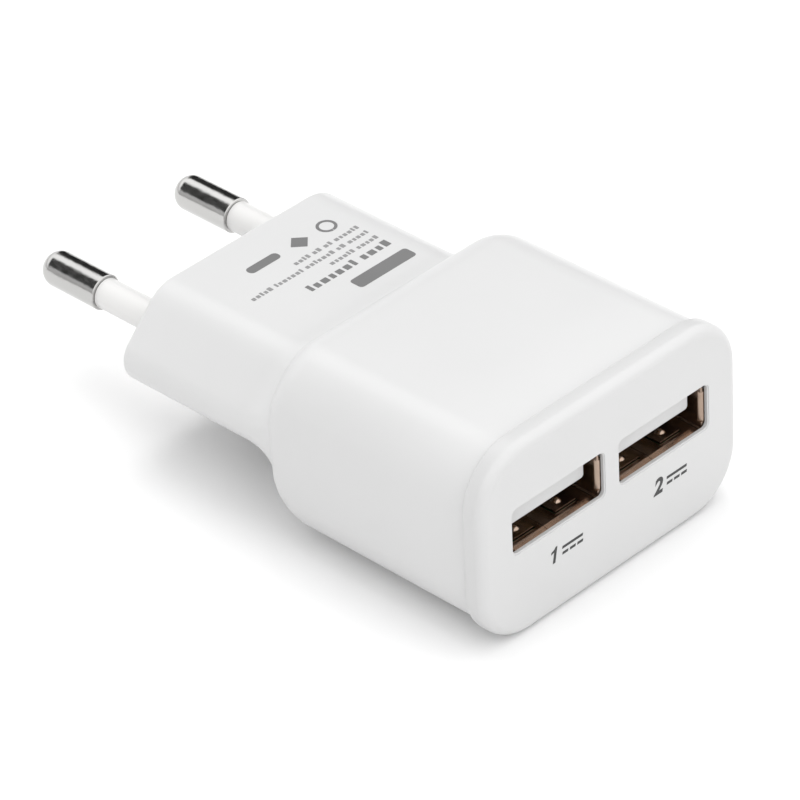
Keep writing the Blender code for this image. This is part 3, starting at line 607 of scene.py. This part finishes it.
def make_pins():
    """Each pin is turned: a dome, a plain length, a shoulder, a narrow core and a head inside the plug."""
    shoulder = SLEEVE_END + SHOULDER_GAP
    head = PIN_BACK + PIN_HEAD
    tip = []
    for step in range(1, DOME_STEPS + 1):
        angle = math.pi / 2 * step / DOME_STEPS
        tip.append((PIN_RADIUS * math.sin(angle), PIN_TIP - PIN_DOME * (1 - math.cos(angle))))
    tip[0] = (TIP_FLAT, PIN_TIP)
    tip.append((PIN_RADIUS, PIN_TIP - PIN_DOME - TIP_SUPPORT))
    tip += [(PIN_RADIUS - inset, shoulder + offset) for inset, offset in SHOULDER_EDGE]
    pin = tip + [(CORE_RADIUS, shoulder), (CORE_RADIUS, head), (PIN_RADIUS, head), (PIN_RADIUS, PIN_BACK)]
    bore = CORE_RADIUS + CORE_GAP
    small = SLEEVE_EDGE * SLEEVE_EDGE_BEND
    sleeve = [(bore, SLEEVE_END), (SLEEVE_RADIUS - SLEEVE_EDGE, SLEEVE_END),
              (SLEEVE_RADIUS - small, SLEEVE_END - small), (SLEEVE_RADIUS, SLEEVE_END - SLEEVE_EDGE),
              (SLEEVE_RADIUS, SLEEVE_ROOT), (bore, SLEEVE_ROOT)]
    for side, name in SIDES:
        x = side * PIN_X
        settle(turned("mains_pin_" + name, pin, x, PLUG_Z), "nickel_plate", replaced=("pin_" + name,))
        settle(turned("sleeve_" + name, sleeve, x, PLUG_Z, looped=True), "sleeve_plastic",
               replaced=("pin_sleeve_" + name,))


# ---------------------------------------------------------------- ports


def lip_share(depth, end):
    """How far a lip is bent out at this depth: none behind its bend, all at the shell's front."""
    return min(max((end - depth) / (end - SHELL_FRONT), 0.0), 1.0)


def shell_ring(middle, depth, inset):
    """One section of the shell. Each flat side ends in its own lip, and the corners between are cut free."""
    half_w = SHELL_HALF_W - inset
    half_h = SHELL_HALF_H - inset
    radius = max(SHELL_CORNER - inset, SHELL_INNER_CORNER)
    out = SIDE_LIP * lip_share(depth, SIDE_LIP_DEPTH)
    down = LIP_DROP * lip_share(depth, LIP_DEPTH)
    ring = []
    for turn, (sx, sz) in enumerate(CORNER_SIGNS):
        corner = []
        for step in range(SHELL_CORNER_STEPS + 1):
            angle = math.radians(90 * turn + 90 * step / SHELL_CORNER_STEPS)
            x = sx * (half_w - radius) + radius * math.cos(angle)
            z = sz * (half_h - radius) + radius * math.sin(angle)
            corner.append((x, z))
        for edge in (LIP_CUT, LIP_CUT + LIP_CUT_WIDTH):
            lipped = edge > LIP_CUT
            upright = (sx * (half_w + (out if lipped else 0)), sz * (half_h - edge))
            lying = (sx * (half_w - edge), sz * (half_h + (down if lipped else 0)))
            first, last = (upright, lying) if turn % 2 == 0 else (lying, upright)
            corner.insert(0, first)
            corner.append(last)
        ring += corner
    return [spot(middle + x, depth, SHELL_Z + z) for x, z in ring]


def tab_height(x, depth):
    """The spring tab rises to its free end and carries a pressed dimple."""
    along = (TAB_ROOT - depth) / (TAB_ROOT - TAB_FREE)
    lift = TAB_LIFT * max(along, 0.0) ** TAB_CURL
    reach = math.hypot(x, depth - DIMPLE_DEPTH)
    dome = DIMPLE_HEIGHT * math.cos(math.pi / 2 * min(reach / DIMPLE_RADIUS, 1.0)) ** DIMPLE_FLATNESS
    return FLOOR_Z + lift + dome


def tab_rows():
    """Depths along a spring tab, close together over its free end and its dimple."""
    rows = [TAB_FREE + TAB_FINE_ROW * step for step in range(TAB_FINE_ROWS + 1)]
    rest = TAB_ROOT + TAB_OVERLAP - rows[-1]
    return rows + [rows[-1] + rest * step / TAB_COARSE_ROWS for step in range(1, TAB_COARSE_ROWS + 1)]


def make_shell(side, name):
    """The folded shell of one port, with its lips, two spring tabs, a seam and a way out for the tails."""
    middle = side * PORT_X
    depths = [SHELL_FRONT + RIM_ROUND]
    for bend in (SIDE_LIP_DEPTH, LIP_DEPTH):
        depths += [bend - BEND_STEP, bend, bend + BEND_STEP]
    depths.append(SHELL_REAR)
    rings = [shell_ring(middle, depth, 0.0) for depth in depths]
    rings += [shell_ring(middle, depth, SHEET) for depth in reversed(depths)]
    for share in (0.7, 0.3):
        rings.append(shell_ring(middle, SHELL_FRONT + RIM_INSET, SHEET * share))
    shell = loft("port_shell_" + name, rings, looped=True)
    sheet_centre = FLOOR_Z - SHEET / 2
    columns = [TAB_HALF_W * (step / TAB_COLUMNS * 2 - 1) for step in range(TAB_COLUMNS + 1)]
    for tab_side in (-1, 1):
        x = middle + tab_side * TAB_X
        window = [box_ring((x, sheet_centre), TAB_HALF_W + TAB_SLIT, SHEET, SLOT_CORNER, depth, steps=1)
                  for depth in (TAB_FREE - TAB_SLIT, TAB_ROOT)]
        cut(shell, loft("tab_window", window))
        tab = slab("tab", columns, tab_rows(), tab_height, TAB_SHEET)
        tab.data.transform(Matrix.Translation((x * MM, 0, 0)))
        cut(shell, tab, "UNION")
    seam = [box_ring((middle + SEAM_X, FLOOR_Z), SEAM_HALF_W, SHEET * 2.5, SEAM_CORNER, depth, steps=1)
            for depth in (SHELL_FRONT - PAST, SHELL_REAR + PAST)]
    cut(shell, loft("seam", seam))
    exit_slot = [box_ring((middle, sheet_centre), EXIT_HALF_W, SHEET, SLOT_CORNER, depth, steps=1)
                 for depth in (BASE_REAR - EXIT_LENGTH, SHELL_REAR + PAST)]
    cut(shell, loft("exit_slot", exit_slot))
    settle(shell, "tinned_steel", replaced=("usb_shell_" + name,))


def make_tongue(side, name):
    """The insulator of one port: a tongue with four grooves below, on a base that fills the shell."""
    middle = side * PORT_X
    half_h = (TONGUE_HIGH - TONGUE_LOW) / 2
    centre = (middle, TONGUE_LOW + half_h)
    rings = []
    for inset, offset in edge_steps(TONGUE_EDGE, TONGUE_EDGE_STEPS):
        rings.append(box_ring(centre, TONGUE_HALF_W - inset, half_h - inset, TONGUE_CORNER - inset,
                              TONGUE_FRONT + offset, steps=8))
    rings.append(box_ring(centre, TONGUE_HALF_W, half_h, TONGUE_CORNER, BASE_FRONT + PAST, steps=8))
    tongue = loft("port_tongue_" + name, rings)
    base_half_w = SHELL_HALF_W - SHEET - BASE_SIDE_GAP
    base_half_h = SHELL_HALF_H - SHEET - BASE_TOP_GAP
    base = [box_ring((middle, SHELL_Z), base_half_w, base_half_h, BASE_CORNER, depth, steps=4)
            for depth in (BASE_FRONT, BASE_REAR)]
    cut(tongue, loft("base", base), "UNION")
    low = TONGUE_LOW - PAST / 2
    for offset in CONTACT_OFFSETS:
        groove_centre = (middle + offset, (GROOVE_ROOF + low) / 2)
        groove = [box_ring(groove_centre, GROOVE_HALF_W, (GROOVE_ROOF - low) / 2, GROOVE_CORNER, depth,
                           steps=3)
                  for depth in (TONGUE_FRONT + GROOVE_START, BASE_REAR + PAST)]
        cut(tongue, loft("groove", groove))
    settle(tongue, "white_insulator", replaced=("usb_tongue_" + name,))


def make_contacts(side, name):
    """The spring blades, one on each contact's own body."""
    for index, offset in enumerate(CONTACT_OFFSETS, start=1):
        label = name + "_" + str(index)
        low, high = (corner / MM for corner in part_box("usb_contact_" + label))
        middle = (low.x + high.x) / 2
        half_w = (high.x - low.x) / 2
        front = low.y - FACE_Y
        rear = high.y - FACE_Y
        level = high.z

        def height(x, depth, front=front, level=level, half_w=half_w):
            """The blade hangs down into a bump near its front and rises back to its root."""
            past_bump = depth - front - BUMP_DEPTH
            if past_bump < 0:
                drop = BUMP_DROP * math.exp(-(past_bump / BUMP_DEPTH / BUMP_WIDTH) ** 2)
            else:
                drop = BUMP_DROP * max(1 - past_bump / BUMP_TAIL, 0.0) ** BUMP_TAIL_CURVE
            return level - drop + BLADE_CROWN * (x / half_w) ** 2 - BLADE_CLEARANCE

        start = front + BLADE_FRONT_GAP
        xs = [half_w * (step / BLADE_COLUMNS * 2 - 1) for step in range(BLADE_COLUMNS + 1)]
        depths = [start + (rear - start) * step / BLADE_ROWS for step in range(BLADE_ROWS + 1)]
        blade = slab("port_contact_" + label, xs, depths, height, BLADE_SHEET)
        blade.data.transform(Matrix.Translation((middle * MM, 0, 0)))
        settle(blade, "gold_flash", body="contact_" + label, replaced=("usb_contact_" + label,))


# ---------------------------------------------------------------- printing


def flat_mark(name, outlines, place, ink):
    """Closed outlines printed as one thin layer; place turns (a, b, lift) into a point."""
    vertices = []
    faces = []
    for outline in outlines:
        base = len(vertices)
        count = len(outline)
        for lift in (-INK_THICK / 2, INK_THICK / 2):
            vertices += [place(a, b, lift) for a, b in outline]
        faces.append(tuple(base + i for i in range(count)))
        faces.append(tuple(base + count + i for i in range(count)))
        for i in range(count):
            j = (i + 1) % count
            faces.append((base + i, base + j, base + count + j, base + count + i))
    mark = collect(name, vertices, faces)
    settle(mark, "white_gloss_plastic", ink)
    return mark


def bar(a0, a1, b0, b1, radius=0.1, slant=0.0):
    """A rounded bar, slanted along a by its height b."""
    centre = ((a0 + a1) / 2, (b0 + b1) / 2)
    points = round_box(centre, (a1 - a0) / 2, (b1 - b0) / 2, radius, steps=3)
    return [(a + slant * (b - b0), b) for a, b in points]


def make_two(name, left):
    """The number 2, from the type built into the program."""
    curve = bpy.data.curves.new("port_number", "FONT")
    curve.body = "2"
    curve.size = DIGIT_SIZE * MM
    curve.shear = SLANT
    curve.offset = DIGIT_BOLDNESS * MM
    curve.extrude = INK_THICK / 2 * MM
    guide = bpy.data.objects.new("port_number", curve)
    bpy.context.scene.collection.objects.link(guide)
    graph = bpy.context.evaluated_depsgraph_get()
    mesh = bpy.data.meshes.new_from_object(guide.evaluated_get(graph))
    bpy.data.objects.remove(guide, do_unlink=True)
    mesh.transform(Matrix.Translation(spot(left, 0.0, MARK_Z)) @ Matrix.Rotation(math.pi / 2, 4, "X"))
    digit = bpy.data.objects.new("port_number_" + name, mesh)
    bpy.context.scene.collection.objects.link(digit)
    shape = bmesh.new()
    shape.from_mesh(mesh)
    bmesh.ops.remove_doubles(shape, verts=shape.verts, dist=WELD)
    shape.to_mesh(mesh)
    shape.free()
    settle(digit, "white_bezel_plastic", DARK_INK)


def make_port_marks():
    """A port number and the sign for direct current under each port."""
    for side, name in SIDES:
        left = side * PORT_X + MARK_START

        def place(a, b, lift, left=left):
            return spot(left + a, -lift, MARK_Z + b)

        if name == "left":
            one = [(x + SLANT * z, z) for x, z in ONE_OUTLINE]
            flat_mark("port_number_" + name, [one], place, DARK_INK)
        else:
            make_two(name, left)
        end = CURRENT_SIGN_START + CURRENT_SIGN_WIDTH
        strokes = [bar(CURRENT_SIGN_START, end, *CURRENT_LINE, STROKE_CORNER, SLANT)]
        for step in range(3):
            start = CURRENT_SIGN_START + DASH_PITCH * step
            strokes.append(bar(start, start + DASH_LENGTH, *CURRENT_DASH, STROKE_CORNER, SLANT))
        flat_mark("port_mark_" + name, strokes, place, DARK_INK)


def word(start, near, cap, count, seed):
    """The outlines of one word of plain blocks, all unlike letters, and where the word ends."""
    outlines = []
    at = start
    for index in range(count):
        pick = (index * 7 + seed * 5) % len(BLOCK_WIDTHS)
        width = cap * BLOCK_WIDTHS[pick]
        tall = index == 0 or pick == TALL_BLOCK
        height = cap if tall else cap * LOW_BLOCK_SHARE
        outlines.append(bar(at, at + width, near, near + height, BLOCK_CORNER))
        at += width + cap * BLOCK_GAP
    return outlines, at


def ring_outline():
    """Out round the ring and back along its inside, with a slit too thin to see where the two meet."""
    outline = []
    for radius, turn in zip(RING_RADII, (1, -1)):
        for step in range(RING_STEPS + 1):
            angle = math.radians(90 + turn * RING_HALF_TURN * (2 * step / RING_STEPS - 1))
            outline.append((RING_CENTRE + radius * math.cos(angle), SHAPES_DEPTH + radius * math.sin(angle)))
    return outline


def make_label():
    """Plain bars, blocks and shapes where the maker's printing would be, reading from +x to -x."""
    def place(a, b, lift):
        return spot(LABEL_RIGHT - a, b, PLUG_TOP_Z + lift)

    flat_mark("label_bar", [bar(*LABEL_BAR)], place, GREY_INK)
    for row, (near, cap, counts) in enumerate(LABEL_ROWS):
        outlines = []
        at = 0.0
        for index, count in enumerate(counts):
            blocks, at = word(at, near, cap, count, row + 2 * index)
            outlines += blocks
            at += cap * WORD_GAP
        flat_mark("label_row_" + str(row + 1), outlines, place, GREY_INK if row == 0 else PALE_INK)
    diamond = []
    for across, along in ((-1, 0), (0, -1), (1, 0), (0, 1)):
        diamond.append((DIAMOND_CENTRE + DIAMOND_HALF_W * across, SHAPES_DEPTH + DIAMOND_HALF_H * along))
    flat_mark("label_shapes", [ring_outline(), diamond, bar(*SHORT_BAR)], place, GREY_INK)


# ---------------------------------------------------------------- build


make_housing()
make_frame()
make_pins()
for port_side, port_name in SIDES:
    make_shell(port_side, port_name)
    make_tongue(port_side, port_name)
    make_contacts(port_side, port_name)
make_port_marks()
make_label()

SLOT_OF = {part["node"]: part["material_slot"] for part in frame["record"]["subparts"]}
for node_name, node in frame["nodes"].items():
    if node.hide_render:
        continue
    node.data.materials.clear()
    node.data.materials.append(MATERIALS[SLOT_OF[node_name]])


# ---------------------------------------------------------------- stage, light and camera


FLOOR_HALF = 3.0
FLOOR_DROP = 0.00005
FLOOR_SHINE = 0.1
SKY_LOW = grey(0.82)
SKY_HIGH = grey(1.56)
DARK_BAND = grey(0.015)
CAMERA_PLACE = (-312.066, FACE_Y - 291.241, 319.653)
CAMERA_AZIMUTH = math.radians(-44.222)
CAMERA_ELEVATION = math.radians(34.874)
CAMERA_ROLL = math.radians(3.060)
CAMERA_LENS = 239.85
CAMERA_SENSOR = 36.0
LIGHT_SIZE = 0.5
LIGHT_TARGET = Vector((0, 0, 0.01))


def make_floor():
    mesh = bpy.data.meshes.new("floor")
    corners = [(FLOOR_HALF * sx, FLOOR_HALF * sy, 0) for sx, sy in ((-1, -1), (1, -1), (1, 1), (-1, 1))]
    mesh.from_pydata(corners, [], [(0, 1, 2, 3)])
    floor = bpy.data.objects.new("floor", mesh)
    bpy.context.scene.collection.objects.link(floor)
    floor.location.z = -FLOOR_DROP
    paint = finish("floor_paint", grey(0.83), grey(0.835), 0.8, patch=3.0)
    paint.node_tree.nodes["Principled BSDF"].inputs["Specular IOR Level"].default_value = FLOOR_SHINE
    mesh.materials.append(paint)


def make_world():
    """A white studio with a dark band behind the pins, so that polished metal has something to reflect."""
    world = bpy.data.worlds.new("studio")
    bpy.context.scene.world = world
    world.use_nodes = True
    nodes = world.node_tree.nodes
    links = world.node_tree.links
    place = nodes.new("ShaderNodeTexCoord")
    split = nodes.new("ShaderNodeSeparateXYZ")
    links.new(place.outputs["Generated"], split.inputs["Vector"])

    def ramp(axis, low, high, start=0.0, end=1.0):
        span = nodes.new("ShaderNodeMapRange")
        span.interpolation_type = "SMOOTHSTEP"
        for socket, value in (("From Min", low), ("From Max", high), ("To Min", start), ("To Max", end)):
            span.inputs[socket].default_value = value
        links.new(split.outputs[axis], span.inputs["Value"])
        return span.outputs["Result"]

    def join(operation, first, second):
        made = nodes.new("ShaderNodeMath")
        made.operation = operation
        links.new(first, made.inputs[0])
        links.new(second, made.inputs[1])
        return made.outputs["Value"]

    def blend(factor, second):
        made = nodes.new("ShaderNodeMix")
        made.data_type = "RGBA"
        made.inputs["B"].default_value = (*second, 1)
        links.new(factor, made.inputs["Factor"])
        return made

    band = join("MULTIPLY", ramp("Y", 0.4, 0.5), ramp("Y", 0.7, 0.8, 1.0, 0.0))
    raised = ramp("Z", 0.3, 0.42, 0.35, 1.0)
    right = ramp("X", -0.15, 0.1)
    band = join("MULTIPLY", band, join("MAXIMUM", raised, right))
    streak = join("MULTIPLY", ramp("X", -0.16, 0.04), ramp("X", 0.38, 0.52, 1.0, 0.0))
    streak = join("MULTIPLY", streak, ramp("Z", 0.5, 0.66, 0.0, 1.0))
    shade = join("SUBTRACT", band, join("MULTIPLY", band, streak))
    sky = blend(ramp("Z", 0.0, 0.6), SKY_HIGH)
    sky.inputs["A"].default_value = (*SKY_LOW, 1)
    banded = blend(shade, DARK_BAND)
    links.new(sky.outputs["Result"], banded.inputs["A"])
    links.new(banded.outputs["Result"], nodes["Background"].inputs["Color"])


def make_light(name, position, power):
    """A round soft light aimed at the charger, which the pins don't mirror."""
    data = bpy.data.lights.new(name, "AREA")
    data.shape = "DISK"
    data.size = LIGHT_SIZE
    data.energy = power
    light = bpy.data.objects.new(name, data)
    bpy.context.scene.collection.objects.link(light)
    light.location = position
    light.visible_glossy = False
    light.rotation_euler = (LIGHT_TARGET - Vector(position)).to_track_quat("-Z", "Y").to_euler()


def make_camera():
    data = bpy.data.cameras.new("camera")
    data.sensor_width = CAMERA_SENSOR
    data.lens = CAMERA_LENS
    camera = bpy.data.objects.new("camera", data)
    bpy.context.scene.collection.objects.link(camera)
    flat = math.cos(CAMERA_ELEVATION)
    across = math.sin(CAMERA_AZIMUTH) * flat
    along = -math.cos(CAMERA_AZIMUTH) * flat
    back = Vector((across, along, math.sin(CAMERA_ELEVATION)))
    level = (-back).cross(Vector((0, 0, 1))).normalized()
    down = (-back).cross(level)
    right = math.cos(CAMERA_ROLL) * level + math.sin(CAMERA_ROLL) * down
    up = back.cross(right)
    turn = Matrix((right, up, back)).transposed().to_4x4()
    camera.matrix_world = Matrix.Translation(Vector(CAMERA_PLACE) * MM) @ turn
    bpy.context.scene.camera = camera


make_floor()
make_world()
make_light("key", (0.1, 0.2, 0.8), 1.12)
make_light("fill", (0.15, -0.75, 0.15), 0.74)
make_camera()
bpy.context.scene.view_settings.view_transform = "Standard"
